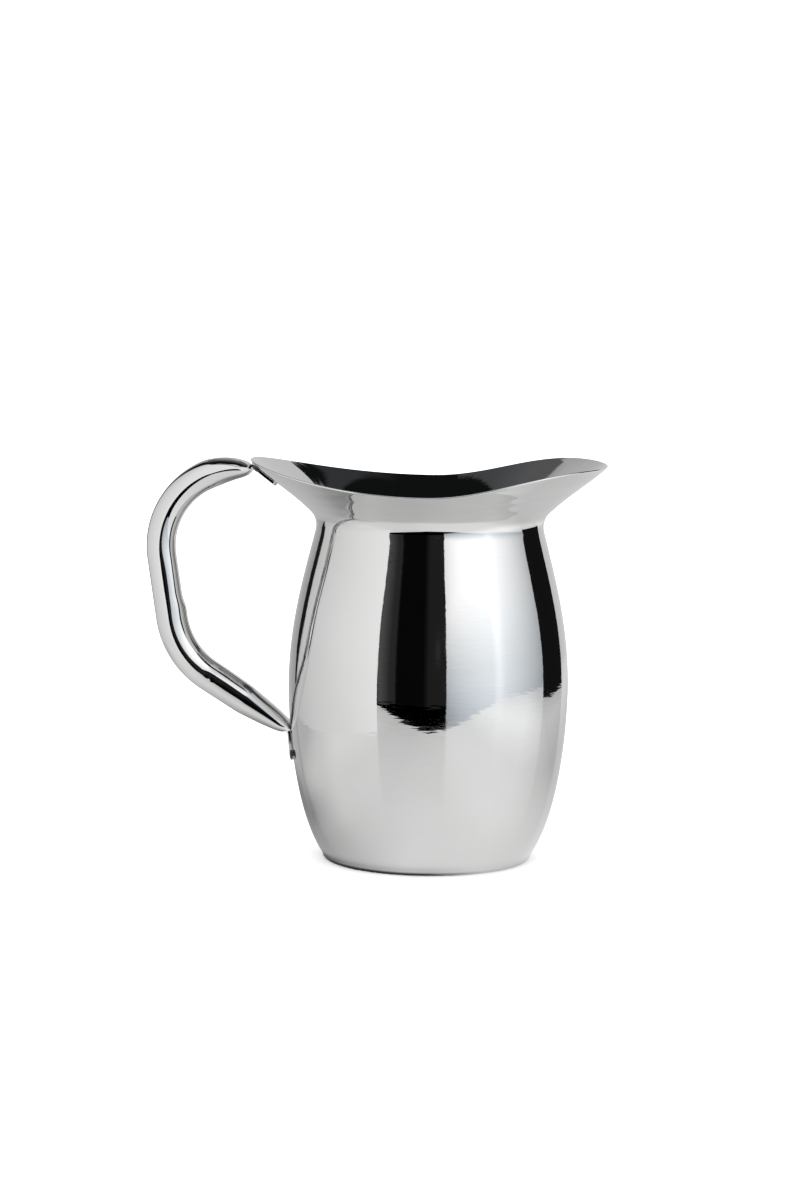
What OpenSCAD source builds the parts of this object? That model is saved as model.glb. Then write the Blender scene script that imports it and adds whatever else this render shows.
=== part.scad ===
// Bell-shaped water pitcher in polished sheet steel, with a bent tube handle.
// The origin is the centre of the base on the barrel's axis; the foot stands on z = 0.
// +X points to the pouring lip, -X to the handle, +Z up. Millimetres.

/* [Sheet] */
// Thickness of the body's sheet metal
sheet = 0.8; // [0.6:0.1:1.2]

/* [Barrel] */
// Outer radius where the barrel meets the foot's corner
base_r = 49.6; // [46:0.1:52]
// Greatest outer radius of the barrel
belly_r = 66.7; // [62:0.1:72]
// Height of the greatest radius
belly_z = 82; // [74:1:90]
// Radius of the corner between barrel and foot
corner_r = 2; // [1.5:0.1:3]
// Width of the flat foot ring
foot_w = 6; // [4:0.5:8]
// Height of the recess inside the foot ring
recess = 1.2; // [0.8:0.1:2]

/* [Neck and flare] */
// Smallest outer radius, at the neck
neck_r = 54; // [52:0.1:56]
// Height of the neck
neck_z = 159.4; // [157:0.1:161]
// Radius of the bend from barrel to flare
neck_bend = 9.5; // [8:0.5:11]
// Slope at which the flare leaves the neck, from vertical
flare_angle = 46; // [44:0.5:48]

/* [Rim] */
// Height of the rim at its two low sides
side_z = 177.7; // [176:0.1:178]
// Rise of the rim from its sides to the handle end
handle_rise = 12.3; // [10:0.1:12.6]
// Rise of the rim from its sides to the pouring lip
lip_rise = 11.2; // [9:0.1:12]
// Distance from the axis at which the lip's rise levels out
lip_run = 76.5; // [70:0.5:84]
// Distance from the axis to the rim's end above the handle
handle_end = 85; // [82:0.5:88]

/* [Handle] */
// Outer diameter of the handle's tube
tube_d = 14.4; // [13:0.1:16]
// Wall of the handle's tube
tube_wall = 0.8; // [0.6:0.1:1]
// Bend of the handle's centreline below the grip
low_bend = 40; // [34:1:44]
// Bend of the handle's centreline above the grip
top_bend = 37; // [34:1:40]
// Length over which the lower end is squeezed flat
low_squeeze = 25; // [18:1:30]
// Length over which the upper end is squeezed flat
top_squeeze = 20; // [14:1:24]

/* [Welds] */
// Radius of a weld bead beside a tab
bead_r = 0.9; // [0.6:0.1:1.2]
// Length of a weld bead
bead_len = 4; // [3:0.5:6]

/* [Hidden] */

// How finely the curves are divided
barrel_steps = 14;
neck_steps = 8;
flare_steps = 10;
rim_step = 5;
tube_sides = 24;
bend_steps = 8;
squeeze_steps = 8;

// Clearance that keeps the handle's facets out of the body
seat_gap = 0.06;
// A tube squeezed flat is two walls thick
tab_t = 2 * tube_wall;
// Thickness below which the tube's bore is closed
bore_from = 6;
// Shape of the squeeze: the tube closes quickly at the very end
squeeze_power = 0.4;
// Corner radius of a tab's end
tab_corner = 6;
// Where the tabs lie along the barrel's and the flare's curves
low_tab_top = 0.62;
low_tab_end = 0.47;
top_tab_top = 0.85;
top_tab_end = 0.45;

// --- Outline of the body ---

function cubic(p, t) = pow(1 - t, 3) * p[0] + 3 * pow(1 - t, 2) * t * p[1]
    + 3 * (1 - t) * t * t * p[2] + pow(t, 3) * p[3];

// Lean at which the barrel runs into the neck's bend, from vertical
neck_lean = 14;
// Distance of the bend's centre from the axis
neck_cx = neck_r + neck_bend;
function neck_arc(a) = [neck_cx - neck_bend * cos(a), neck_z + neck_bend * sin(a)];
neck_start = neck_arc(-neck_lean);
neck_end = neck_arc(flare_angle);

// The lower barrel rises from the corner to the belly, the upper barrel from the belly to the neck
lower_curve = [
    [base_r, corner_r],
    [belly_r - 0.3, 26],
    [belly_r, belly_z - 2],
    [belly_r, belly_z]
];
upper_curve = [
    [belly_r, belly_z],
    [belly_r, belly_z + 31],
    neck_start + 22 * [sin(neck_lean), -cos(neck_lean)],
    neck_start
];
// The flare opens wider than its slope at the neck, then turns up a little under the rim
flare_curve = [
    neck_end,
    neck_end + [11.1, 10.8],
    neck_end + [25.6, 18.8],
    neck_end + [29.5, 25.3]
];

// Where the foot ring's flat meets the corner, and where it meets the recess
corner_cx = base_r - corner_r * 0.9;
foot_in = corner_cx - foot_w;

outer_line = concat(
    [for (a = [0 : 22.5 : 67.5]) [corner_cx + corner_r * sin(a), corner_r * (1 - cos(a))]],
    [for (i = [1 : barrel_steps]) cubic(lower_curve, i / barrel_steps)],
    [for (i = [1 : barrel_steps]) cubic(upper_curve, i / barrel_steps)],
    [for (i = [1 : neck_steps]) neck_arc(-neck_lean + i / neck_steps * (flare_angle + neck_lean))],
    [for (i = [1 : flare_steps]) cubic(flare_curve, i / flare_steps)]
);
base_line = [[0, recess], [foot_in - 2 * recess, recess], [foot_in, 0]];

// Unit normal of a line of points, pointing to the inside of the vessel
function side_normal(a, b) = let (d = b - a) [-d[1], d[0]] / norm(d);
function line_normal(line, i) = let (
    a = line[max(i - 1, 0)],
    b = line[min(i + 1, len(line) - 1)]
) side_normal(a, b);
function inset(line, t) = [for (i = [0 : len(line) - 1]) line[i] + t * line_normal(line, i)];
function on_axis(line) = [for (p = line) [max(p[0], 0), p[1]]];

skin_line = concat(base_line, outer_line);
inner_line = on_axis(inset(skin_line, sheet));

// --- Rim ---

// Height of the rim's saddle cut at a distance x from the axis
function rim_z(x) = x < 0
    ? side_z + handle_rise * pow(x / handle_end, 2)
    : side_z + lip_rise * pow(sin(min(x / lip_run, 1.3) * 90), 2);

module saddle_block() {
    reach = 95;
    top = [for (x = [reach : -rim_step : -reach]) [x, rim_z(x)]];
    rotate([90, 0, 0])
        linear_extrude(height = 2 * reach, center = true)
            polygon(concat([[-reach, -5], [reach, -5]], top));
}

// --- Handle route, in the X-Z plane ---

// Corners of the route: lower joint, below the grip, above the grip, upper joint
low_joint = [-66.6, 61.3];
grip_low = [-120.5, 95.4];
grip_top = [-133.7, 185.8];
top_joint = [-84.8, 185.2];

function heading(a, b) = (b - a) / norm(b - a);
function reversed(list) = [for (i = [len(list) - 1 : -1 : 0]) list[i]];
// Points of an arc of radius r that rounds corner b of the line a, b, c
function rounded(a, b, c, r, n) = let (
    d1 = heading(b, a),
    d2 = heading(b, c),
    half = acos(d1 * d2) / 2,
    mid = b + heading([0, 0], d1 + d2) * r / sin(half),
    s = b + d1 * r / tan(half),
    turn = (180 - 2 * half) * sign(d1[0] * d2[1] - d1[1] * d2[0]),
    start = s - mid
) [for (i = [0 : n]) let (a = -turn * i / n)
    mid + [start[0] * cos(a) - start[1] * sin(a), start[0] * sin(a) + start[1] * cos(a)]];

low_arc = rounded(low_joint, grip_low, grip_top, low_bend, bend_steps);
top_arc = rounded(grip_low, grip_top, top_joint, top_bend, bend_steps + 4);

// Thickness of the tube at a distance u from its pinched end
function squeezed(u, length) = tab_t + (tube_d - tab_t) * pow(min(u / length, 1), squeeze_power);

// Rings of the route are [point, thickness, width factor, bow towards the body]
function tube_ring(p) = [
    p,
    min(squeezed(norm(p - low_joint), low_squeeze), squeezed(norm(p - top_joint), top_squeeze)),
    1,
    0
];
// Points from a joint towards the tube, closer together near the joint
function run_in(joint, next, length, n) = [for (i = [1 : n])
    joint + heading(joint, next) * length * pow(i / n, 2)];
top_straight = norm(top_arc[len(top_arc) - 1] - top_joint);
route = concat(
    run_in(low_joint, low_arc[0], low_squeeze, squeeze_steps),
    low_arc,
    top_arc,
    reversed(run_in(top_joint, top_arc[len(top_arc) - 1], top_straight * 0.7, 4))
);

// Width of a tube squeezed flat
tab_w = tab_t + PI * (tube_d - tab_t) / 2;
// A tab's end is rounded across its width, by a factor that depends on the distance e from it
function end_width(e) = let (half = tab_w / 2, k = min(e, tab_corner))
    (half - tab_corner + sqrt(pow(tab_corner, 2) - pow(tab_corner - k, 2))) / half;

// A tab's rings lie on the body: each is placed on a point of its outline, lifted off it
function seat(curve, t) = let (
    p = cubic(curve, t),
    out = side_normal(cubic(curve, t + 0.01), cubic(curve, t - 0.01))
) [-p[0], p[1]] + (tab_t / 2 + seat_gap) * [-out[0], out[1]];
// Rings of a tab, from its rounded end at t1 to the joint at t0
function tab(curve, t0, t1, bow) = let (
    length = norm(seat(curve, t1) - seat(curve, t0))
) [for (e = [0.02, 0.1, 0.25, 0.45, 0.85])
    [seat(curve, t1 + (t0 - t1) * e), tab_t, end_width(e * length), bow]];

// How far a tab's edges bend, round the barrel's radius below and the flare's above
low_bow = pow(tab_w / 2, 2) / (2 * 65);
top_bow = -pow(tab_w / 2, 2) / (2 * 122);

all_rings = concat(
    tab(lower_curve, low_tab_top, low_tab_end, low_bow),
    [for (p = route) tube_ring(p)],
    reversed(tab(flare_curve, top_tab_top, top_tab_end, top_bow))
);

// Rings where the tube is still open inside
bore_rings = [for (i = [0 : len(all_rings) - 1]) if (all_rings[i][1] > bore_from) i];

// --- Handle section and skin ---

// One point of the section: a circle squeezed to a rounded flat of the same girth
function section_point(a, h, cut, wide) = let (
    flat = PI / 4 * (tube_d - h),
    c = cos(a),
    s = sin(a)
) [wide * ((h / 2 - cut) * c + flat * sign(c) * pow(abs(c), h / tube_d)), (h / 2 - cut) * s];

// Direction of the route at a ring, halfway between its neighbours
function ring_dir(rings, i) = heading(
    rings[max(i - 1, 0)][0],
    rings[min(i + 1, len(rings) - 1)][0]
);

function ring_points(rings, i, cut) = let (
    r = rings[i],
    d = ring_dir(rings, i),
    across = [-d[1], d[0]]
) [for (k = [0 : tube_sides - 1])
    let (
        q = section_point((k + 0.5) * 360 / tube_sides, r[1], cut, r[2]),
        lift = q[1] - r[3] * pow(q[0] / (tab_w / 2), 2)
    ) [r[0][0] + across[0] * lift, q[0], r[0][1] + across[1] * lift]];

// Skin of the tube from one ring to another, or of its bore where cut is the wall
module sweep(rings, first, last, cut) {
    n = last - first + 1;
    m = tube_sides;
    points = [for (i = [first : last]) each ring_points(rings, i, cut)];
    sides = [for (i = [0 : n - 2]) for (k = [0 : m - 1])
        [i * m + k, (i + 1) * m + k, (i + 1) * m + (k + 1) % m, i * m + (k + 1) % m]];
    low_cap = [[for (k = [0 : m - 1]) k]];
    top_cap = [[for (k = [m - 1 : -1 : 0]) (n - 1) * m + k]];
    polyhedron(points = points, faces = concat(sides, low_cap, top_cap), convexity = 6);
}

// --- Parts ---

module body_shell() {
    color("gainsboro")
        intersection() {
            rotate_extrude($fn = 180)
                polygon(concat(skin_line, reversed(inner_line)));
            saddle_block();
        }
}

module handle_tube() {
    color("silver")
        difference() {
            sweep(all_rings, 0, len(all_rings) - 1, 0);
            sweep(all_rings, bore_rings[0], bore_rings[len(bore_rings) - 1], tube_wall);
        }
}

// A bead of weld along each side edge of a tab, centred at t on the body's outline
module bead_pair(curve, t, bow) {
    p = seat(curve, t);
    d = heading(seat(curve, t - 0.01), seat(curve, t + 0.01));
    away = [-d[1], d[0]];
    c = p + (bead_r - tab_t / 2 - bow) * away;
    color("darkgray")
        for (side = [-1, 1])
            translate([c[0], side * (tab_w / 2 + bead_r + seat_gap), c[1]])
                rotate([0, atan2(d[0], d[1]), 0]) {
                    cylinder(h = bead_len - 2 * bead_r, r = bead_r, center = true, $fn = 24);
                    for (end = [-1, 1])
                        translate([0, 0, end * (bead_len / 2 - bead_r)])
                            sphere(r = bead_r, $fn = 24);
                }
}

module upper_welds() bead_pair(flare_curve, 0.75, abs(top_bow));

module lower_welds() bead_pair(lower_curve, 0.5, low_bow);

body_shell();
handle_tube();
upper_welds();
lower_welds();
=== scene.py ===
import math

import bpy
import numpy as np
from mathutils import Matrix, Vector


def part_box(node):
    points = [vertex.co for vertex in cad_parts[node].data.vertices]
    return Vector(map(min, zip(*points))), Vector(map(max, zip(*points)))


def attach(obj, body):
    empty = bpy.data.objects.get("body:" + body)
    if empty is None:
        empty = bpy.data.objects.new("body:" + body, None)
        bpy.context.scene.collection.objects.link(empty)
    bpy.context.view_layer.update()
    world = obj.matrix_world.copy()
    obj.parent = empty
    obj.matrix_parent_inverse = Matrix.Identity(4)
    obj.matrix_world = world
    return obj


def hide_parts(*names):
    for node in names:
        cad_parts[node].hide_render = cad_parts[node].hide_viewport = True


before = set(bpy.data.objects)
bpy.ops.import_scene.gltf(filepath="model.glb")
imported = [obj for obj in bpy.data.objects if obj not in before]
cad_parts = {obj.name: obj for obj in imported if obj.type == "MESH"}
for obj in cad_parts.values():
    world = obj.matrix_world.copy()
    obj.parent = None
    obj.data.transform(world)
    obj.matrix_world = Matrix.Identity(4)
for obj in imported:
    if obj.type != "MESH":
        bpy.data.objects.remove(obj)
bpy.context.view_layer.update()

# ---------------------------------------------------------------------------
# Scale: the outline below is in millimetres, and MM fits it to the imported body
# ---------------------------------------------------------------------------

BODY_TALL = 190.1
body_low, body_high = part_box("body_shell")
MM = (body_high.z - body_low.z) / BODY_TALL
CENTRE = Vector((0, 0, body_low.z))

# Body: radii are the outer skin's, and angles are from vertical
SHEET = 0.8
BASE_R = 49.6
BELLY_R = 66.7
BELLY_Z = 82.0
CORNER_R = 2.0
FOOT_W = 6.0
RECESS = 1.2
RECESS_RAMP = 4.0
NECK_R = 54.0
NECK_Z = 159.4
NECK_BEND = 9.5
NECK_LEAN = 14.0
FLARE_ANGLE = 46.0
SIDE_Z = 177.7
HANDLE_RISE = 12.3
HANDLE_END = 85.0
LIP_RISE = 11.2
LIP_RUN = 76.5

# Handle: joints and grip ends are (x, z) corners of its centreline, tabs are spans of the body's curves
TUBE_D = 14.4
TAB_T = 1.6
LOW_BEND = 40.0
TOP_BEND = 37.0
LOW_SQUEEZE = 25.0
TOP_SQUEEZE = 20.0
SQUEEZE_POWER = 0.4
SEAT_GAP = 0.06
TAB_CORNER = 2.4
EDGE_R = 0.18
LOW_TAB = (0.47, 0.62)
TOP_TAB = (0.435, 0.85)
LOW_JOINT = (-66.6, 61.3)
GRIP_LOW = (-120.5, 95.4)
GRIP_TOP = (-133.7, 185.8)
TOP_JOINT = (-84.8, 185.2)

# Marks of the bending tools: ridges and flats of the tube's sides, and the places where they begin
TOP_RIDGE = 0.46
LOW_RIDGE = 0.22
LOW_FLAT = 0.14
RIDGE_W = 2.2
CREASE_W = 1.3
CREASE_FROM = 42.0
SIDE_SWELL = 0.03
NOTCH = 0.14
INNER_SWELL = 0.12
GRIP_FLAT = 6.85
OUTER_SIDE = 0.985
STEP_Z = 121.5
RIDGE_Z = 134.0

# Welds
BEAD_R = 0.9
BEAD_LEN = 4.0

# Mesh fineness: points round the body, points round the tube, and spacing along the outlines
COLUMNS = 288
SECTION_SIDES = 96
STEP = 0.1


# ---------------------------------------------------------------------------
# Curves
# ---------------------------------------------------------------------------

def cubic(points, t):
    """Point or points of a cubic curve at t."""
    p = np.asarray(points, float)
    t = np.atleast_1d(np.asarray(t, float))[:, None]
    return (1 - t) ** 3 * p[0] + 3 * (1 - t) ** 2 * t * p[1] + 3 * (1 - t) * t ** 2 * p[2] + t ** 3 * p[3]


def smoothstep(x):
    """Rises gently from 0 to 1 as x goes from 0 to 1."""
    x = np.clip(x, 0.0, 1.0)
    return x * x * (3 - 2 * x)


def lengths(line):
    """Distance along a line of points, at each point."""
    return np.concatenate([[0.0], np.cumsum(np.linalg.norm(np.diff(line, axis=0), axis=1))])


def resample(line, step):
    """The same line with evenly spaced points."""
    s = lengths(line)
    count = max(2, int(round(s[-1] / step)) + 1)
    even = np.linspace(0.0, s[-1], count)
    return np.stack([np.interp(even, s, line[:, k]) for k in range(line.shape[1])], axis=1)


def softened(values, radius):
    """Values along a line, smoothed over a number of points, with the ends held."""
    reach = int(3 * radius)
    weights = np.exp(-0.5 * (np.arange(-reach, reach + 1) / radius) ** 2)
    weights /= weights.sum()
    head = 2 * values[:1] - values[1:reach + 1][::-1]
    tail = 2 * values[-1:] - values[-reach - 1:-1][::-1]
    padded = np.concatenate([head, values, tail])
    columns = range(values.shape[1])
    return np.stack([np.convolve(padded[:, k], weights, mode="valid") for k in columns], axis=1)


def unit(v):
    """Vectors scaled to length 1."""
    return v / np.linalg.norm(v, axis=-1, keepdims=True)


def tangents(line):
    """Direction of a line at each of its points."""
    return unit(np.gradient(line, axis=0))


# ---------------------------------------------------------------------------
# Outline of the body
# ---------------------------------------------------------------------------

NECK_CX = NECK_R + NECK_BEND


def neck_arc(angle):
    """Points of the neck's bend, at angles above the level of its smallest radius."""
    a = np.radians(angle)
    return np.stack([NECK_CX - NECK_BEND * np.cos(a), NECK_Z + NECK_BEND * np.sin(a)], axis=-1)


neck_start = neck_arc(-NECK_LEAN)
neck_end = neck_arc(FLARE_ANGLE)
lean = np.radians(NECK_LEAN)
LOWER_CURVE = [(BASE_R, CORNER_R), (BELLY_R - 0.3, 26), (BELLY_R, BELLY_Z - 2), (BELLY_R, BELLY_Z)]
UPPER_CURVE = [
    (BELLY_R, BELLY_Z),
    (BELLY_R, BELLY_Z + 31),
    neck_start + 22 * np.array([np.sin(lean), -np.cos(lean)]),
    neck_start,
]
FLARE_CURVE = [
    neck_end,
    neck_end + np.array([11.1, 10.8]),
    neck_end + np.array([25.6, 18.8]),
    neck_end + np.array([29.5, 25.3]),
]
CORNER_CX = BASE_R - 0.9 * CORNER_R
FOOT_IN = CORNER_CX - FOOT_W


def outline():
    """Outer outline from the centre of the underside to the flare's end, as evenly spaced points."""
    ramp = np.linspace(0, 1, 40)
    under = np.stack([
        FOOT_IN - RECESS_RAMP * (1 - ramp),
        RECESS * (0.5 + 0.5 * np.cos(np.pi * ramp)),
    ], axis=1)
    corner = np.radians(np.linspace(0, 62, 12))
    t = np.linspace(0, 1, 400)
    parts = [
        [(0.0, RECESS)],
        under,
        np.stack([CORNER_CX + CORNER_R * np.sin(corner), CORNER_R * (1 - np.cos(corner))], axis=1),
        cubic(LOWER_CURVE, t)[4:],
        cubic(UPPER_CURVE, t)[1:],
        neck_arc(np.linspace(-NECK_LEAN, FLARE_ANGLE, 60))[1:],
        cubic(FLARE_CURVE, t)[1:],
    ]
    line = resample(np.concatenate(parts), STEP)
    return softened(line, 6)


OUTLINE = outline()
OUTLINE_S = lengths(OUTLINE)
OUTLINE_ALONG = tangents(OUTLINE)
OUTLINE_IN = softened(np.stack([-OUTLINE_ALONG[:, 1], OUTLINE_ALONG[:, 0]], axis=1), 4)


def on_outline(s):
    """Radius, height and inward normal of the outline at distance s along it."""
    r = np.interp(s, OUTLINE_S, OUTLINE[:, 0])
    z = np.interp(s, OUTLINE_S, OUTLINE[:, 1])
    n = np.stack([np.interp(s, OUTLINE_S, OUTLINE_IN[:, k]) for k in (0, 1)], axis=-1)
    return r, z, unit(n)


def rim_z(x):
    """Height of the rim's saddle cut at a distance x from the axis."""
    back = SIDE_Z + HANDLE_RISE * (x / HANDLE_END) ** 2
    front = SIDE_Z + LIP_RISE * np.sin(np.radians(90 * np.minimum(x / LIP_RUN, 1.3))) ** 2
    return np.where(x < 0, back, front)


def rim_reach(angle):
    """Distance along the outline at which the rim cuts it, for one direction from the axis."""
    over = OUTLINE[:, 1] - rim_z(OUTLINE[:, 0] * math.cos(angle))
    flare = np.nonzero((over > 0) & (OUTLINE_S > OUTLINE_S[-1] - 60))[0]
    if len(flare) == 0:
        return OUTLINE_S[-1]
    k = flare[0]
    return OUTLINE_S[k - 1] + STEP * over[k - 1] / (over[k - 1] - over[k])


# ---------------------------------------------------------------------------
# Mesh helpers
# ---------------------------------------------------------------------------

def make_object(name, points, faces, material, layers=None):
    """A smooth-shaded mesh object from points in millimetres; layers are numbers kept at its points."""
    mesh = bpy.data.meshes.new(name)
    mesh.from_pydata((np.asarray(points) * MM + np.array(CENTRE)).tolist(), [], faces)
    for layer, values in (layers or {}).items():
        values = np.asarray(values, np.float32)
        kind, field = ("FLOAT", "value") if values.ndim == 1 else ("FLOAT_VECTOR", "vector")
        mesh.attributes.new(layer, kind, "POINT").data.foreach_set(field, values.ravel())
    mesh.shade_smooth()
    mesh.update()
    piece = bpy.data.objects.new(name, mesh)
    bpy.context.scene.collection.objects.link(piece)
    mesh.materials.append(material)
    return piece


def tube_faces(rows, columns):
    """Quads that join rows of points, each row a closed ring."""
    faces = []
    for i in range(rows - 1):
        for k in range(columns):
            n = (k + 1) % columns
            faces.append((i * columns + k, i * columns + n, (i + 1) * columns + n, (i + 1) * columns + k))
    return faces


def wobble(angle, s, seed, waves):
    """A smooth, repeatable unevenness over the body, about -1 to 1, from a few slow waves."""
    rng = np.random.default_rng(seed)
    total = np.zeros_like(s)
    for _ in range(waves):
        around = rng.integers(1, 7)
        along = rng.uniform(0.02, 0.12)
        total += np.sin(around * angle + along * s + rng.uniform(0, 2 * np.pi))
    return total / math.sqrt(waves)


# ---------------------------------------------------------------------------
# Body
# ---------------------------------------------------------------------------

# Depth of the skin's slow unevenness, and the distance along the outline at which it starts
DENT = 0.02
DENT_FROM = 55.0
# The pattern of the spinning marks is laid on a circle this small, so it changes slowly round the body
SPIN_R = 14.0


def body_rows():
    """Distances along the outline for each row and column, from the underside's centre to the rim."""
    angles = np.linspace(0, 2 * np.pi, COLUMNS, endpoint=False)
    ends = np.array([rim_reach(a) for a in angles]) - SHEET / 2
    under = len(OUTLINE) // 5
    s_foot = float(np.interp(CORNER_CX, OUTLINE[:under, 0], OUTLINE_S[:under]))
    s_neck = float(OUTLINE_S[-1] - lengths(cubic(FLARE_CURVE, np.linspace(0, 1, 200)))[-1] - 10)
    fixed = np.concatenate([
        np.linspace(0.6, FOOT_IN - RECESS_RAMP - 1, 22, endpoint=False),
        np.linspace(FOOT_IN - RECESS_RAMP - 1, s_foot, 18, endpoint=False),
        np.linspace(s_foot, s_foot + 4, 12, endpoint=False),
        np.linspace(s_foot + 4, s_neck, 110, endpoint=False),
    ])
    share = np.linspace(0, 1, 52)[:, None]
    flare = s_neck + share * (ends[None, :] - s_neck)
    return angles, np.concatenate([np.repeat(fixed[:, None], COLUMNS, axis=1), flare])


def body_shell(material):
    """The spun vessel: outer skin, rounded rim and inner skin as one closed mesh."""
    angles, s = body_rows()
    around = np.broadcast_to(angles, s.shape)
    r, z, inward = on_outline(s)
    fade_in = smoothstep((s - DENT_FROM) / 20)
    dent = DENT * wobble(around, s, 7, 9) * fade_in
    dent = np.maximum(dent, -DENT) + DENT * fade_in
    outer = np.stack([r + inward[..., 0] * dent, z + inward[..., 1] * dent], axis=-1)
    inner = outer + SHEET * inward
    inner[..., 0] = np.maximum(inner[..., 0], 0.2)

    rise = unit(outer[-1] - outer[-2])
    middle = (outer[-1] + inner[-1]) / 2
    cap = [
        middle + SHEET / 2 * (-inward[-1] * math.cos(a) + rise * math.sin(a))
        for a in np.radians(np.linspace(0, 180, 9)[1:-1])
    ]
    sections = np.concatenate([outer, np.array(cap), inner[::-1]])
    arcs = np.concatenate([s, np.repeat(s[-1:], len(cap), axis=0), s[::-1]])
    inside = np.concatenate([np.zeros(s.shape), np.full((len(cap), COLUMNS), 0.5), np.ones(s.shape)])

    rows = len(sections)
    points = np.stack([
        sections[..., 0] * np.cos(angles),
        sections[..., 0] * np.sin(angles),
        sections[..., 1],
    ], axis=-1).reshape(-1, 3)
    faces = tube_faces(rows, COLUMNS)
    low, high = len(points), len(points) + 1
    points = np.concatenate([points, [[0, 0, RECESS], [0, 0, RECESS + SHEET]]])
    last = (rows - 1) * COLUMNS
    for k in range(COLUMNS):
        n = (k + 1) % COLUMNS
        faces.append((low, n, k))
        faces.append((high, last + k, last + n))
    turned = np.broadcast_to(angles, arcs.shape)
    spin = np.stack([arcs, SPIN_R * np.cos(turned), SPIN_R * np.sin(turned)], axis=-1).reshape(-1, 3)
    spin = np.concatenate([spin, [[0, 0, 0], [0, 0, 0]]])
    inside = np.concatenate([inside.ravel(), [0, 1]])
    return make_object("body_skin", points, faces, material, {"spin": spin, "inside": inside})


# ---------------------------------------------------------------------------
# Handle
# ---------------------------------------------------------------------------

# A tube squeezed flat keeps its girth, and the tabs bow to the body's curvature where they lie
TAB_W = TAB_T + math.pi * (TUBE_D - TAB_T) / 2
LOW_BOW_R = 65
TOP_BOW_R = 122
LOW_BOW = (TAB_W / 2) ** 2 / (2 * LOW_BOW_R)
TOP_BOW = -(TAB_W / 2) ** 2 / (2 * TOP_BOW_R)


def seat(curve, t):
    """Points of a tab's middle layer, lying on a curve of the body's outline on the handle's side."""
    p = cubic(curve, t)
    d = unit(cubic(curve, np.asarray(t) + 0.01) - cubic(curve, np.asarray(t) - 0.01))
    out = np.stack([d[:, 1], -d[:, 0]], axis=1)
    lifted = p + (TAB_T / 2 + SEAT_GAP) * out
    return np.stack([-lifted[:, 0], lifted[:, 1]], axis=1)


def rounded(a, b, c, radius):
    """Arc that rounds corner b of the line a, b, c."""
    a, b, c = (np.asarray(p, float) for p in (a, b, c))
    d1, d2 = unit(a - b), unit(c - b)
    half = math.acos(float(d1 @ d2)) / 2
    middle = b + unit(d1 + d2) * radius / math.sin(half)
    start = b + d1 * radius / math.tan(half) - middle
    turn = (math.pi - 2 * half) * np.sign(d1[0] * d2[1] - d1[1] * d2[0])
    angle = -turn * np.linspace(0, 1, 80)
    return middle + np.stack([
        start[0] * np.cos(angle) - start[1] * np.sin(angle),
        start[0] * np.sin(angle) + start[1] * np.cos(angle),
    ], axis=1)


def handle_route():
    """Centreline of the handle from the lower tab's end to the upper tab's end, in the X-Z plane."""
    t = np.linspace(0, 1, 60)
    low_bend = rounded(LOW_JOINT, GRIP_LOW, GRIP_TOP, LOW_BEND)
    top_bend = rounded(GRIP_LOW, GRIP_TOP, TOP_JOINT, TOP_BEND)
    parts = [
        seat(LOWER_CURVE, LOW_TAB[0] + (LOW_TAB[1] - LOW_TAB[0]) * 0.97 * t),
        [LOW_JOINT],
        low_bend,
        top_bend,
        [TOP_JOINT],
        seat(FLARE_CURVE, TOP_TAB[1] + (TOP_TAB[0] - TOP_TAB[1]) * (0.03 + 0.97 * t)),
    ]
    even = resample(np.concatenate(parts), STEP)
    return softened(even, 9)


def girth_shares():
    """Places of the section's points round its girth, closer together at the two side edges."""
    even = np.linspace(0, 1, SECTION_SIDES, endpoint=False)
    return even - 0.72 * np.sin(4 * np.pi * even) / (4 * np.pi)


def round_section(quarter):
    """A whole section from the points of its first quarter, from the side edge to the top."""
    half = np.concatenate([quarter, quarter[::-1][1:] * (-1, 1)])
    full = np.concatenate([half, half[::-1][1:] * (1, -1)])
    along = lengths(full)
    places = girth_shares() * along[-1]
    return np.stack([np.interp(places, along, full[:, k]) for k in (0, 1)], axis=1)


def section(thick):
    """Section of the squeezed tube: half widths along Y and lifts across."""
    flat = math.pi / 4 * (TUBE_D - thick)
    c = np.cos(np.radians(np.linspace(0, 90, 400)))
    s = np.sqrt(np.maximum(0.0, 1 - c ** 2))
    open_quarter = np.stack([thick / 2 * c + flat * c ** (thick / TUBE_D), thick / 2 * s], axis=1)
    open_quarter[-1, 0] = 0.0
    shape = round_section(open_quarter)
    closed = 1 - float(smoothstep((thick / TAB_T - 1) / 1.6))
    if closed == 0:
        return shape

    # A tab's two walls are pressed square at the side edges
    a = np.radians(np.linspace(0, 90, 24))
    corner = np.stack([
        TAB_W / 2 - EDGE_R + EDGE_R * np.cos(a),
        thick / 2 - EDGE_R + EDGE_R * np.sin(a),
    ], axis=1)
    pressed = np.concatenate([[(TAB_W / 2, 0.0)], corner, [(0.0, thick / 2)]])
    return shape + closed * (round_section(pressed) - shape)


def softly_below(value, limit, blend):
    """The value, held under the limit with a rounded corner."""
    return value - blend * np.log1p(np.exp((value - limit) / blend))


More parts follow.
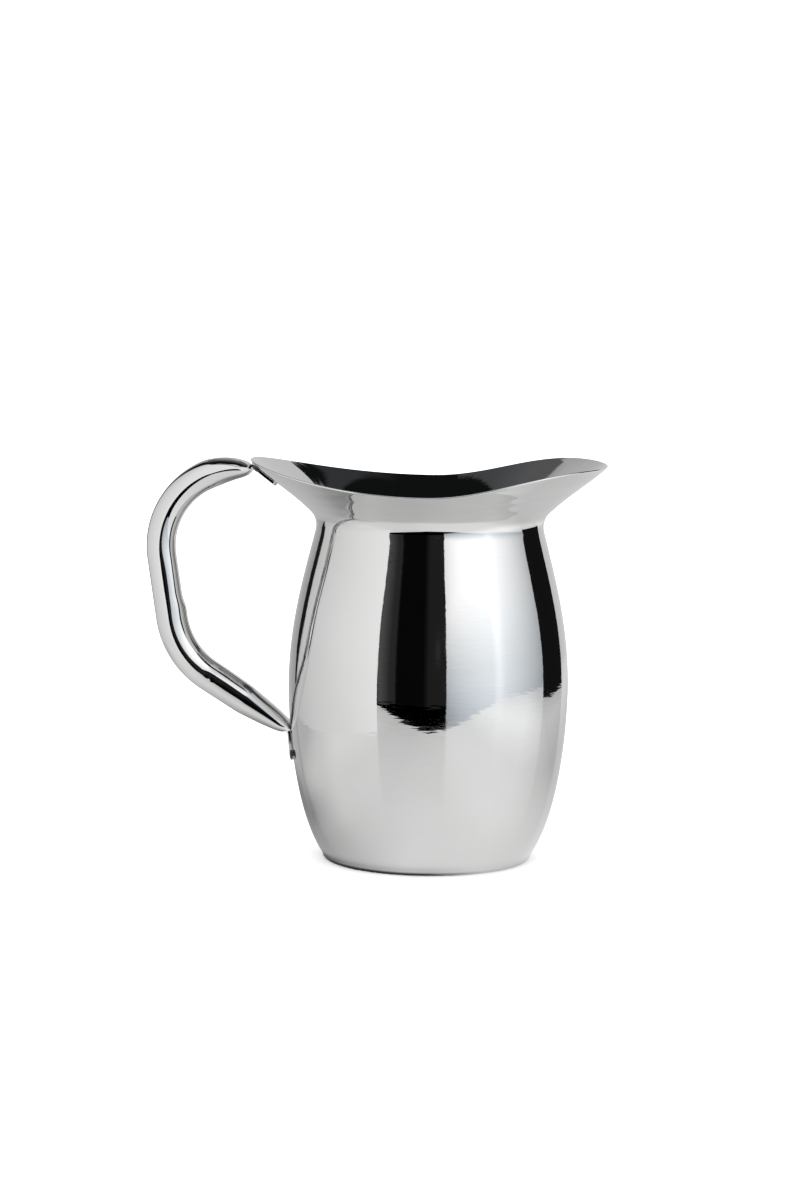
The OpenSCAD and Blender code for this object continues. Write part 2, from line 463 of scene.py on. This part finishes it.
def formed(shape, here, marks, open_share):
    """A section of the tube as the bending tools leave it: y across the loop, lift to the loop's outside."""
    width, lift = shape[:, 0].copy(), shape[:, 1].copy()
    # Both sides run to a soft ridge in the two bends, and are a little flat along the lower straight
    in_top = float(smoothstep((here - marks["ridge"]) / 26))
    in_low = float(smoothstep((here - marks["low_end"] - 1) / 5))
    in_low *= float(smoothstep((marks["step"] + 8 - here) / 16))
    below = float(smoothstep((marks["low_end"] - here) / 10))
    ridge = (TOP_RIDGE * in_top + LOW_RIDGE * in_low - LOW_FLAT * below) * open_share
    side = np.sign(width) * np.abs(np.tanh(width))
    crease = float(smoothstep((here - marks["ridge"] - CREASE_FROM) / 18))
    ridge_w = RIDGE_W + (CREASE_W - RIDGE_W) * crease
    width = width * (1 + SIDE_SWELL * open_share) + side * ridge * np.exp(-(lift / ridge_w) ** 2)
    # The tool's grip leaves a small dent at the end of the lower bend
    dent = NOTCH * math.exp(-((here - marks["low_end"] + 1.5) / 0.9) ** 2)
    width -= side * dent * np.exp(-((lift - 0.5) / 1.6) ** 2)
    # The inner side swells through the lower bend and is pressed a little flat along the grip
    inner = np.maximum(0.0, -lift)
    in_bend = float(smoothstep((marks["step"] + 4.5 - here) / 9))
    in_bend *= float(smoothstep((here - marks["low_end"] + 30) / 30))
    on_grip = float(smoothstep((here - marks["step"] + 4.5) / 9)) * open_share ** 4
    inner = inner * (1 + INNER_SWELL * in_bend * open_share)
    pressed = np.maximum(0.0, softly_below(inner * 1.03, GRIP_FLAT, 0.25))
    inner = inner + (pressed - inner) * on_grip
    return np.stack([width, np.where(lift < 0, -inner, OUTER_SIDE * lift)], axis=1)


def handle_tube(material):
    """The bent tube with its ends squeezed flat, formed to the body and cut round."""
    line = handle_route()
    along = tangents(line)
    s = lengths(line)
    low_at = s[np.argmin(np.linalg.norm(line - LOW_JOINT, axis=1))]
    top_at = s[np.argmin(np.linalg.norm(line - TOP_JOINT, axis=1))]
    middle = s[np.argmin(line[:, 0])]
    rising = np.nonzero(s < middle)[0]
    low_bend = rounded(LOW_JOINT, GRIP_LOW, GRIP_TOP, LOW_BEND)
    marks = {
        "low_end": s[np.argmin(np.linalg.norm(line - low_bend[0], axis=1))],
        "step": float(np.interp(STEP_Z, line[rising, 1], s[rising])),
        "ridge": float(np.interp(RIDGE_Z, line[rising, 1], s[rising])),
    }

    # Rows lie close together at the cut ends, at the pinches and at the tools' marks
    spans = [
        (0.0, 0.6, 0.15),
        (0.6, TAB_CORNER, 0.5),
        (TAB_CORNER, low_at - 2, 0.7),
        (low_at - 2, low_at + 5, 0.35),
        (low_at + 5, low_at + LOW_SQUEEZE + 3, 0.8),
        (low_at + LOW_SQUEEZE + 3, marks["step"] - 6, 0.6),
        (marks["step"] - 6, marks["step"] + 6, 0.3),
        (marks["step"] + 6, top_at - TOP_SQUEEZE - 3, 1.2),
        (top_at - TOP_SQUEEZE - 3, top_at - 5, 0.8),
        (top_at - 5, top_at + 2, 0.35),
        (top_at + 2, s[-1] - TAB_CORNER, 0.7),
        (s[-1] - TAB_CORNER, s[-1] - 0.6, 0.5),
        (s[-1] - 0.6, s[-1], 0.15),
    ]
    stations = np.concatenate([
        np.linspace(a, b, max(2, int(round((b - a) / step)) + 1))[:-1] for a, b, step in spans
    ] + [[s[-1]]])

    from_low = np.maximum(s - low_at, 0) / LOW_SQUEEZE
    from_top = np.maximum(top_at - s, 0) / TOP_SQUEEZE
    squeezed = np.minimum(from_low, from_top)
    open_line = np.minimum(squeezed, 1.0) ** SQUEEZE_POWER
    open_line = np.clip(softened(open_line[:, None], 7)[:, 0], 0.0, 1.0)

    rings = []
    spins = []
    turns = np.linspace(0, 2 * np.pi, SECTION_SIDES, endpoint=False)
    half = TAB_W / 2
    for here in stations:
        p = np.array([np.interp(here, s, line[:, k]) for k in (0, 1)])
        d = unit(np.array([np.interp(here, s, along[:, k]) for k in (0, 1)]))
        across = np.array([-d[1], d[0]])
        open_share = float(np.interp(here, s, open_line))
        shape = formed(section(TAB_T + (TUBE_D - TAB_T) * open_share), here, marks, open_share)
        from_end = min(here, s[-1] - here)
        short = TAB_CORNER - min(from_end, TAB_CORNER)
        narrow = (half - TAB_CORNER + math.sqrt(TAB_CORNER ** 2 - short ** 2)) / half
        edge = 0.82 + 0.18 * float(smoothstep(from_end / 0.45))
        fade_low = 1 - float(smoothstep((here - low_at) / 6))
        fade_top = 1 - float(smoothstep((top_at - here) / 6))
        bow = LOW_BOW * fade_low + TOP_BOW * fade_top
        y = shape[:, 0] * narrow
        lift = shape[:, 1] * edge - bow * (y / half) ** 2
        rings.append(np.stack([p[0] + across[0] * lift, y, p[1] + across[1] * lift], axis=1))
        spins.append(np.stack([
            np.full(SECTION_SIDES, 0.12 * here),
            3 * np.cos(turns),
            3 * np.sin(turns),
        ], axis=1))

    # Each cut end shows the seam between the tube's two walls as a fine groove
    def groove(first, second):
        centre = (first + np.roll(first[::-1], 1, axis=0)) / 2
        lip = first * 0.3 + centre * 0.7
        return [lip, centre * 0.94 + lip * 0.06 + 1.5 * (second - first)]

    start = groove(rings[0], rings[1])
    end = groove(rings[-1], rings[-2])
    rings = [start[1], start[0]] + rings + [end[0], end[1]]
    spins = [spins[0], spins[0]] + spins + [spins[-1], spins[-1]]

    faces = tube_faces(len(rings), SECTION_SIDES)
    m = SECTION_SIDES
    last = (len(rings) - 1) * m
    for k in range(m // 2):
        a, b, c, e = k, k + 1, (m - k - 1) % m, (m - k) % m
        low_face = [a, e, c, b]
        high_face = [last + a, last + b, last + c, last + e]
        faces.append(tuple(dict.fromkeys(low_face)))
        faces.append(tuple(dict.fromkeys(high_face)))
    layers = {"spin": np.concatenate(spins)}
    return make_object("handle_skin", np.concatenate(rings), faces, material, layers)


# ---------------------------------------------------------------------------
# Welds
# ---------------------------------------------------------------------------

def weld_bead(name, curve, t, bow, side, material):
    """A small bead along a tab's edge, with the ripples of the weld's steps."""
    here = seat(curve, [t])[0]
    d = unit(seat(curve, [t + 0.01])[0] - seat(curve, [t - 0.01])[0])
    away = np.array([-d[1], d[0]])
    centre = here + (BEAD_R - TAB_T / 2 - abs(bow)) * away
    middle_y = side * (TAB_W / 2 + BEAD_R + SEAT_GAP)
    rows, columns = 40, 28
    points = []
    for i in range(1, rows):
        u = i / rows
        swell = math.sin(math.pi * u) ** 0.45
        ripple = 1 - 0.07 * (0.5 + 0.5 * math.cos(2 * math.pi * 6 * u))
        along_mm = (u - 0.5) * BEAD_LEN
        for k in range(columns):
            a = 2 * math.pi * k / columns
            radius = BEAD_R * swell * ripple
            up = radius * math.cos(a)
            aside = radius * math.sin(a)
            points.append((
                centre[0] + d[0] * along_mm + away[0] * up,
                middle_y + aside,
                centre[1] + d[1] * along_mm + away[1] * up,
            ))
    faces = tube_faces(rows - 1, columns)
    last = (rows - 2) * columns
    low, high = len(points), len(points) + 1
    for end in (-BEAD_LEN / 2, BEAD_LEN / 2):
        points.append((centre[0] + d[0] * end, middle_y, centre[1] + d[1] * end))
    for k in range(columns):
        n = (k + 1) % columns
        faces.append((low, n, k))
        faces.append((high, last + k, last + n))
    return make_object(name, points, faces, material)


# ---------------------------------------------------------------------------
# Materials
# ---------------------------------------------------------------------------

STEEL = (0.665, 0.665, 0.662, 1.0)


class Nodes:
    """A material's node tree, with short calls to add and join nodes."""

    def __init__(self, name):
        self.material = bpy.data.materials.new(name)
        self.material.use_nodes = True
        self.tree = self.material.node_tree
        self.shader = self.tree.nodes["Principled BSDF"]

    def add(self, kind, inputs=None, **settings):
        """A new node; an input is either a value or another node's output."""
        node = self.tree.nodes.new(kind)
        for key, value in settings.items():
            setattr(node, key, value)
        for key, value in (inputs or {}).items():
            if isinstance(value, bpy.types.NodeSocket):
                self.tree.links.new(value, node.inputs[key])
            else:
                node.inputs[key].default_value = value
        return node

    def math(self, operation, a, b=0.0):
        return self.add("ShaderNodeMath", {0: a, 1: b}, operation=operation).outputs[0]

    def spread(self, value, from_low, from_high, to_low, to_high):
        """Carries one range over to another, held at the ends."""
        node = self.add("ShaderNodeMapRange", {
            "Value": value,
            "From Min": from_low,
            "From Max": from_high,
            "To Min": to_low,
            "To Max": to_high,
        })
        return node.outputs[0]

    def noise(self, vector, scale, detail, **settings):
        """Smooth noise; detail is how many finer layers it has."""
        inputs = {"Vector": vector, "Scale": scale, "Detail": detail}
        return self.add("ShaderNodeTexNoise", inputs, **settings).outputs["Fac"]

    def join(self, output, socket):
        """Joins an output to one of the shader's own sockets."""
        self.tree.links.new(output, self.shader.inputs[socket])


def polished_steel(name):
    """Mirror-polished sheet steel with smudges; returns its nodes, the place and the roughness so far."""
    n = Nodes(name)
    n.shader.inputs["Metallic"].default_value = 1.0
    place = n.add("ShaderNodeTexCoord").outputs["Object"]
    smudge = n.noise(place, 38.0, 3.0)
    fine = n.noise(place, 900.0, 2.0)
    rough = n.math("ADD", n.spread(smudge, 0.45, 0.75, 0.028, 0.055), n.math("MULTIPLY", fine, 0.012))
    tint = n.add("ShaderNodeMix", {
        "Factor": n.spread(smudge, 0.35, 0.7, 0.0, 1.0),
        6: STEEL,
        7: (STEEL[0] * 0.975, STEEL[1] * 0.975, STEEL[2] * 0.97, 1.0),
    }, data_type="RGBA")
    n.join(tint.outputs[2], "Base Color")
    return n, place, rough


def finish(n, ripple, place, depth, rough):
    """Joins the ripples of the steel's surface, with a slow unevenness, and its roughness."""
    drift = n.noise(place, 40.0, 1.0, normalize=False)
    height = n.math("ADD", ripple, n.math("MULTIPLY", drift, 1.2))
    bump = n.add("ShaderNodeBump", {"Height": height, "Distance": depth, "Strength": 1.0})
    n.join(bump.outputs["Normal"], "Normal")
    n.join(rough, "Roughness")
    return n.material


def body_steel():
    """The body's steel: spinning marks all round, broader on the flare, and a brushed underside."""
    n, place, rough = polished_steel("body_steel")
    spin = n.add("ShaderNodeAttribute", attribute_name="spin").outputs["Vector"]
    inside = n.add("ShaderNodeAttribute", attribute_name="inside").outputs["Fac"]
    across, _, up = n.add("ShaderNodeSeparateXYZ", {0: place}).outputs

    marks = n.noise(spin, 0.62, 1.0, normalize=False)
    broad = n.noise(spin, 0.2, 0.0, normalize=False)
    broad = n.math("MULTIPLY", broad, n.spread(across, -0.02, 0.03, 10.0, 24.0))
    on_flare = n.math("MAXIMUM", n.math("SUBTRACT", n.spread(up, 0.157, 0.163, 0.0, 1.0), inside), 0.0)
    calm = n.math("MAXIMUM", on_flare, inside)
    marks = n.math("MULTIPLY", marks, n.math("SUBTRACT", 1.0, n.math("MULTIPLY", calm, 0.75)))
    ripple = n.math("ADD", marks, n.math("MULTIPLY", broad, on_flare))

    # The underside was brushed in rings and left duller than the rest
    brushed = n.noise(spin, 3.2, 2.0, normalize=False)
    under = n.math("MAXIMUM", n.math("SUBTRACT", n.spread(up, 0.0013, 0.0022, 1.0, 0.0), inside), 0.0)
    ripple = n.math("ADD", ripple, n.math("MULTIPLY", n.math("MULTIPLY", brushed, under), 0.5))
    dull = n.math("ADD", 0.17, n.math("MULTIPLY", brushed, 0.12))
    rough = n.math("ADD", rough, n.math("MULTIPLY", dull, under))

    # Below the neck the inside was left satin
    well = n.math("MULTIPLY", inside, n.spread(up, 0.145, 0.158, 1.0, 0.0))
    rough = n.math("ADD", rough, n.math("MULTIPLY", well, 0.15))
    return finish(n, ripple, place, 0.0000075, rough)


def handle_steel():
    """The handle's steel: faint drawing marks along the tube."""
    n, place, rough = polished_steel("handle_steel")
    spin = n.add("ShaderNodeAttribute", attribute_name="spin").outputs["Vector"]
    marks = n.noise(spin, 0.62, 1.0, normalize=False)
    return finish(n, marks, place, 0.000001, rough)


def weld_metal():
    """Bead of weld, left as it came from the torch: rough and dark with scale."""
    n = Nodes("weld_metal")
    n.shader.inputs["Metallic"].default_value = 1.0
    place = n.add("ShaderNodeTexCoord").outputs["Object"]
    grain = n.noise(place, 1400.0, 3.0)
    tone = n.add("ShaderNodeMix", {
        "Factor": grain, 6: (0.045, 0.043, 0.042, 1.0), 7: (0.16, 0.155, 0.15, 1.0),
    }, data_type="RGBA")
    n.join(tone.outputs[2], "Base Color")
    n.join(n.spread(grain, 0.3, 0.7, 0.22, 0.42), "Roughness")
    bump = n.add("ShaderNodeBump", {"Height": grain, "Distance": 0.00004, "Strength": 0.6})
    n.join(bump.outputs["Normal"], "Normal")
    return n.material


# ---------------------------------------------------------------------------
# Studio
# ---------------------------------------------------------------------------

# Points along and up each card, round and up the dome, and along each side of the table top
WALL_COLUMNS = 64
WALL_ROWS = 48
DOME_COLUMNS = 180
DOME_ROWS = 90
TABLE_POINTS = 120


def only_in_reflections(piece):
    """Hides a piece from everything but mirrored rays."""
    piece.visible_camera = False
    piece.visible_diffuse = False
    piece.visible_shadow = False
    piece.visible_transmission = False
    piece.visible_volume_scatter = False


def glowing():
    """Emission that takes its colour from the mesh's own "glow" layer."""
    material = bpy.data.materials.new("studio_glow")
    material.use_nodes = True
    tree = material.node_tree
    tree.nodes.clear()
    glow = tree.nodes.new("ShaderNodeAttribute")
    glow.attribute_name = "glow"
    light = tree.nodes.new("ShaderNodeEmission")
    out = tree.nodes.new("ShaderNodeOutputMaterial")
    tree.links.new(glow.outputs["Color"], light.inputs["Color"])
    tree.links.new(light.outputs[0], out.inputs["Surface"])
    return material


def grid_faces(columns, rows):
    """Quads of a grid with this many points along and up."""
    return [
        (j * columns + i, j * columns + i + 1, (j + 1) * columns + i + 1, (j + 1) * columns + i)
        for j in range(rows - 1) for i in range(columns - 1)
    ]


def wall(name, foot, heights, glow, material):
    """An upright card along the foot's points. glow(x, y, z) is its light at a point in millimetres."""
    foot = np.asarray(foot, float)
    share = lengths(foot) / lengths(foot)[-1]
    columns, rows = WALL_COLUMNS, WALL_ROWS
    points, colours = [], []
    for v in np.linspace(0, 1, rows):
        for u in np.linspace(0, 1, columns):
            x, y = (float(np.interp(u, share, foot[:, k])) for k in (0, 1))
            z = mix(heights[0], heights[1], v)
            points.append((x, y, z))
            colours.append((*glow(x, y, z), 1.0))
    return card(name, points, grid_faces(columns, rows), colours, material)


def dome(name, radius, glow, material):
    """The room above the cards. glow(azimuth, elevation) is its light, with azimuth 0 towards the camera."""
    columns, rows = DOME_COLUMNS, DOME_ROWS
    points, colours = [], []
    for j in range(rows + 1):
        elevation = 90 * j / rows
        for i in range(columns + 1):
            azimuth = -180 + 360 * i / columns
            e, a = math.radians(elevation), math.radians(azimuth)
            points.append((
                radius * math.cos(e) * math.sin(a),
                -radius * math.cos(e) * math.cos(a),
                radius * math.sin(e),
            ))
            colours.append((*glow(azimuth, elevation), 1.0))
    return card(name, points, grid_faces(columns + 1, rows + 1), colours, material)


def card(name, points, faces, colours, material):
    """A glowing sheet that only reflections show."""
    sheet = make_object(name, points, faces, material)
    layer = sheet.data.attributes.new("glow", "FLOAT_COLOR", "POINT")
    layer.data.foreach_set("color", np.asarray(colours, np.float32).ravel())
    only_in_reflections(sheet)
    return sheet


def grey(value, blue=0.0):
    """A light of one strength, with a share of its red and green taken out."""
    return (value * (1 - blue), value * (1 - blue * 0.5), value)


def mix(a, b, share):
    """From a to b as share goes from 0 to 1, and held at the ends."""
    share = min(1.0, max(0.0, share))
    return a + (b - a) * share


def hump(x, centre, width):
    """A smooth bump of height 1."""
    return math.exp(-0.5 * ((x - centre) / width) ** 2)


def left_light(x, y, z):
    """White card on the left: its top slopes down to the back, where a slanted gap ends it."""
    top = 620 - 1.45 * max(0.0, y + 30)
    gap_starts = 285 - 75 * min(1.0, max(0.0, z / 110))
    shown = mix(1, 0, (z - top) / 25) * mix(1, 0, (y - gap_starts) / 4)
    bright = mix(1.15, 0.69, (y + 258) / 483) * mix(0.94, 1.0, z / 120)
    return grey(0.012 + bright * shown)


def rear_light(x, y, z):
    """White sweep behind, dimmer on the left, where its top fades and slopes."""
    tone = mix(0.43, 0.56, (y - 290) / 500) if x < -240 else mix(0.56, 0.72, (x + 240) / 340)
    fade = mix(1.0, 0.45, (z - 690) / 150) if x < -150 else 1.0
    left_top = 700 + 0.6 * max(0.0, y - 560)
    if x < -200 and z > left_top:
        return grey(0.12)
    return grey(tone * fade)


def soft_box_light(x, y, z):
    """Large soft box on the right: brightest near its front, cooler low down, with one bright streak."""
    along = mix(0.76, 1.22, (y + 1600) / 1000) * mix(1.0, 0.42, (y + 380) / 680)
    low = mix(0.67, 1.0, (z + 250) / 320)
    high = mix(1.0, 1.48, (z - 100) / 450) * mix(1.0, 0.6, (z - 1000) / 200)
    streak = 1 + 0.16 * hump(y, -440, 40)
    blue = mix(0.14, 0.0, (z + 100) / 600) + mix(0.0, 0.12, (z - 1000) / 200)
    return grey(along * (low * high) * streak, blue)


def dark_light(x, y, z):
    """Dark room behind the camera, a little lighter at both ends."""
    left = mix(0.09, 0.025, (x + 1800) / 450) * mix(1, 0, (x + 1150) / 60)
    right = mix(0.0, 0.015, (x + 100) / 200) + 0.02 * hump(x, 400, 60) * hump(z, 420, 120)
    return grey(0.003 + left + right)


def black_light(x, y, z):
    """Black flag behind on the right."""
    return grey(0.008)


def room_light(azimuth, elevation):
    """Dark ceiling with a lit panel in front and dim walls behind, left and right of the pitcher."""
    low_panel = mix(1, 0, (elevation - 66) / 4) * mix(1, 0, (abs(azimuth) - 62) / 5)
    high_panel = mix(1, 0, (elevation - 80) / 4) * mix(1, 0, (abs(azimuth) - 40) / 5)
    front = 1.1 * mix(0, 1, (elevation - 30) / 3) * max(low_panel, high_panel)

    # Behind on the left, a dim grey wall up to a sloping edge, brighter lower down and further back
    left_top = min(74.0, max(58.0, 63.3 + 0.75 * (-131 - azimuth)))
    left_wall = mix(0.075, 0.14, (64 - elevation) / 18)
    left_wall += 0.3 * mix(0, 1, (-148 - azimuth) / 12) * mix(1, 0, (elevation - 40) / 26)
    left_wall *= mix(1, 0, (elevation - left_top) / 0.8) * mix(0, 1, (-100 - azimuth) / 4)

    # Behind on the right, a dark grey wall, and beyond a black strip the top of the sweep
    right_wall = 0.04 * mix(0, 1, (azimuth - 140) / 1.5) * mix(1, 0, azimuth - 148.3)
    right_wall *= mix(1, 0, (elevation - 60) / 14)
    sweep_top = 39.7 - 1.48 * (azimuth - 150.5)
    right_sweep = 0.62 * mix(0, 1, (azimuth - 149.4) / 0.8) * mix(1, 0, (azimuth - 175) / 5)
    right_sweep *= mix(1, 0, (elevation - sweep_top) / 0.8)
    return grey(0.008 + front + left_wall + right_wall + right_sweep, 0.1)


# The cards' feet as (x, y) lines on the floor
LEFT_CARD = [(-190, -258), (-300, -104), (-327, 103), (-328, 300)]
REAR_SWEEP = [(-328, 312), (-330, 500), (-250, 900), (200, 930), (900, 880)]
SOFT_BOX = [(454, -1600), (935, 373)]
BLACK_CARD = [(606, 163), (529, 469), (470, 540)]
DARK_ROOM = [(-1900, -2300), (-300, -2500), (900, -2450)]
DOME_R = 4000


def studio_cards():
    """Everything that the polished steel mirrors, apart from the table: sheets that glow with painted light
    and shade.
    """
    glow = glowing()
    wall("left_card", LEFT_CARD, (0, 700), left_light, glow)
    wall("rear_sweep", REAR_SWEEP, (0, 860), rear_light, glow)
    wall("soft_box", SOFT_BOX, (-320, 1500), soft_box_light, glow)
    wall("black_card", BLACK_CARD, (0, 700), black_light, glow)
    wall("dark_room", DARK_ROOM, (-300, 1300), dark_light, glow)
    dome("upper_room", DOME_R, room_light, glow)


def table_light(x, y):
    """Painted light and shade of the table top, given off as its glow, at a point in millimetres."""
    # Brighter towards the soft box and the front
    side = mix(0.93, 1.04, (x + 60) / 160)
    depth = mix(1.0, 0.0, (y + 60) / 170)
    lit = side * depth + 0.73 * (1 - depth) + 0.35 * mix(0, 1, (x - 190) / 180)
    lit += 0.1 * mix(0, 1, (-150 - x) / 90) * mix(1, 0, (y + 90) / 80)

    # The pitcher's shadow behind it on the left: a core and a wide soft part
    core = 0.46 * hump(x, -92, 34) * mix(0, 1, (y + 50) / 70) * mix(1, 0.4, (y - 150) / 250)
    wide = 0.12 * mix(0, 1, (60 - x) / 160) * mix(0, 1, (y - 20) / 80)
    lit = max(0.24, lit - core - wide)

    # The painted contact shadow: a thin dark line of shade where the foot stands, and a darker patch of
    # shade beside it on the left
    from_foot = max(0.0, math.hypot(x, y) - 50)
    touching = 0.25 + 0.7 * mix(1, 0, (x - 2) / 26)
    beside = 0.6 * mix(1, 0, (x + 66) / 56)
    contact_shadow = touching * math.exp(-from_foot / 1.1) + beside * math.exp(-from_foot / 23)
    return grey(lit * (1 - min(0.95, contact_shadow)))


def plain_white(name):
    """Matt white without any sheen."""
    n = Nodes(name)
    n.shader.inputs["Base Color"].default_value = (0.95, 0.95, 0.95, 1)
    n.shader.inputs["Roughness"].default_value = 1.0
    n.shader.inputs["Specular IOR Level"].default_value = 0.0
    return n.material


def table_glow_and_sheen():
    """The mirrored table top: its glow of painted light and shade, with a faint sheen that carries the
    cards' images.
    """
    material = glowing()
    tree = material.node_tree
    light = tree.nodes["Emission"]
    sheen = tree.nodes.new("ShaderNodeBsdfGlossy")
    sheen.inputs["Roughness"].default_value = 0.16
    blend = tree.nodes.new("ShaderNodeMixShader")
    edge = tree.nodes.new("ShaderNodeFresnel")
    edge.inputs["IOR"].default_value = 1.3
    out = tree.nodes["Material Output"]
    tree.links.new(edge.outputs[0], blend.inputs[0])
    tree.links.new(light.outputs[0], blend.inputs[1])
    tree.links.new(sheen.outputs[0], blend.inputs[2])
    tree.links.new(blend.outputs[0], out.inputs["Surface"])
    return material


# The table's front edge as (x, y) points, and the sides and back that it reaches to
TABLE_FRONT = [(-600, -560), (0, -325), (620, -393)]
TABLE_LEFT = -900
TABLE_RIGHT = 1200
TABLE_BACK = 1300
FLOOR_REACH = 9000


def floors():
    """The pale floor that the camera sees, and the smaller table top, glowing with painted light and shade,
    that the polished metal mirrors.
    """
    corners = [(FLOOR_REACH * a, FLOOR_REACH * b, 0) for a, b in ((-1, -1), (1, -1), (1, 1), (-1, 1))]
    wide = make_object("floor", corners, [(0, 1, 2, 3)], plain_white("studio_floor"))
    wide.visible_glossy = False

    front = np.asarray(TABLE_FRONT, float)
    points, colours = [], []
    for j in range(TABLE_POINTS + 1):
        for i in range(TABLE_POINTS + 1):
            x = mix(TABLE_LEFT, TABLE_RIGHT, i / TABLE_POINTS)
            edge = float(np.interp(x, front[:, 0], front[:, 1]))
            y = mix(edge, TABLE_BACK, (j / TABLE_POINTS) ** 1.5)
            points.append((x, y, 0))
            colours.append((*table_light(x, y), 1.0))
    gloss = table_glow_and_sheen()
    card("table_top", points, grid_faces(TABLE_POINTS + 1, TABLE_POINTS + 1), colours, gloss)

    # Close to the foot the shadow falls off quickly, so that part is a finer ring on top
    rings, spokes = 60, 180
    points, colours = [], []
    for j in range(rings + 1):
        reach = 44 + 60 * (1 - j / rings) ** 1.8
        for i in range(spokes):
            a = 2 * math.pi * i / spokes
            x, y = reach * math.cos(a), reach * math.sin(a)
            points.append((x, y, 0.02))
            colours.append((*table_light(x, y), 1.0))
    card("table_near", points, tube_faces(rings + 1, spokes), colours, gloss)


def world_light():
    """Soft white light from all round: a white backdrop to the camera, and not mirrored by the metal."""
    world = bpy.data.worlds.new("studio")
    bpy.context.scene.world = world
    world.use_nodes = True
    back = world.node_tree.nodes["Background"]
    back.inputs["Color"].default_value = (1, 1, 1, 1)
    back.inputs["Strength"].default_value = 1.9
    world.cycles_visibility.glossy = False


# ---------------------------------------------------------------------------
# Camera
# ---------------------------------------------------------------------------

# Angles are in degrees. The aim turns the camera off the look point, which it stands square to
CAMERA_DISTANCE = 1563.8
CAMERA_ELEVATION = 7.53
CAMERA_AZIMUTH = 1.40
CAMERA_ROLL = 0.63
LOOK_HEIGHT = 96.3
AIM_LEFT = 0.498
AIM_UP = 0.999
LENS = 98.4


def camera():
    """The photograph's viewpoint, from the front with the handle on the left."""
    e, a = math.radians(CAMERA_ELEVATION), math.radians(CAMERA_AZIMUTH)
    look = CENTRE + Vector((0, 0, LOOK_HEIGHT * MM))
    back = Vector((math.cos(e) * math.sin(a), -math.cos(e) * math.cos(a), math.sin(e)))
    roll = math.radians(CAMERA_ROLL)
    level = (-back).cross(Vector((0, 0, 1))).normalized()
    upright = level.cross(-back)
    right = level * math.cos(roll) + upright * math.sin(roll)
    up = upright * math.cos(roll) - level * math.sin(roll)
    forward = -back - right * math.tan(math.radians(AIM_LEFT)) + up * math.tan(math.radians(AIM_UP))
    forward.normalize()
    right = forward.cross(up).normalized()
    up = right.cross(forward)
    data = bpy.data.cameras.new("camera")
    data.sensor_width = 36
    data.lens = LENS
    piece = bpy.data.objects.new("camera", data)
    turn = Matrix((right, up, -forward)).transposed().to_4x4()
    piece.matrix_world = Matrix.Translation(look + back * CAMERA_DISTANCE * MM) @ turn
    bpy.context.scene.collection.objects.link(piece)
    bpy.context.scene.camera = piece


# ---------------------------------------------------------------------------
# The piece list
# ---------------------------------------------------------------------------

camera()
world_light()
floors()
studio_cards()

body = body_shell(body_steel())
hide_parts("body_shell")
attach(body, "root")

handle = handle_tube(handle_steel())
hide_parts("handle_tube")
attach(handle, "root")

bead_metal = weld_metal()
beads = [
    ("upper_welds", FLARE_CURVE, 0.75, TOP_BOW),
    ("lower_welds", LOWER_CURVE, 0.5, LOW_BOW),
]
for node, curve, t, bow in beads:
    for label, side in (("near", -1), ("far", 1)):
        bead = weld_bead(f"{node}_{label}", curve, t, bow, side, bead_metal)
        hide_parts(node)
        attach(bead, "root")

scene = bpy.context.scene
scene.view_settings.view_transform = "Standard"
scene.view_settings.look = "None"
scene.cycles.max_bounces = 24
scene.cycles.glossy_bounces = 20
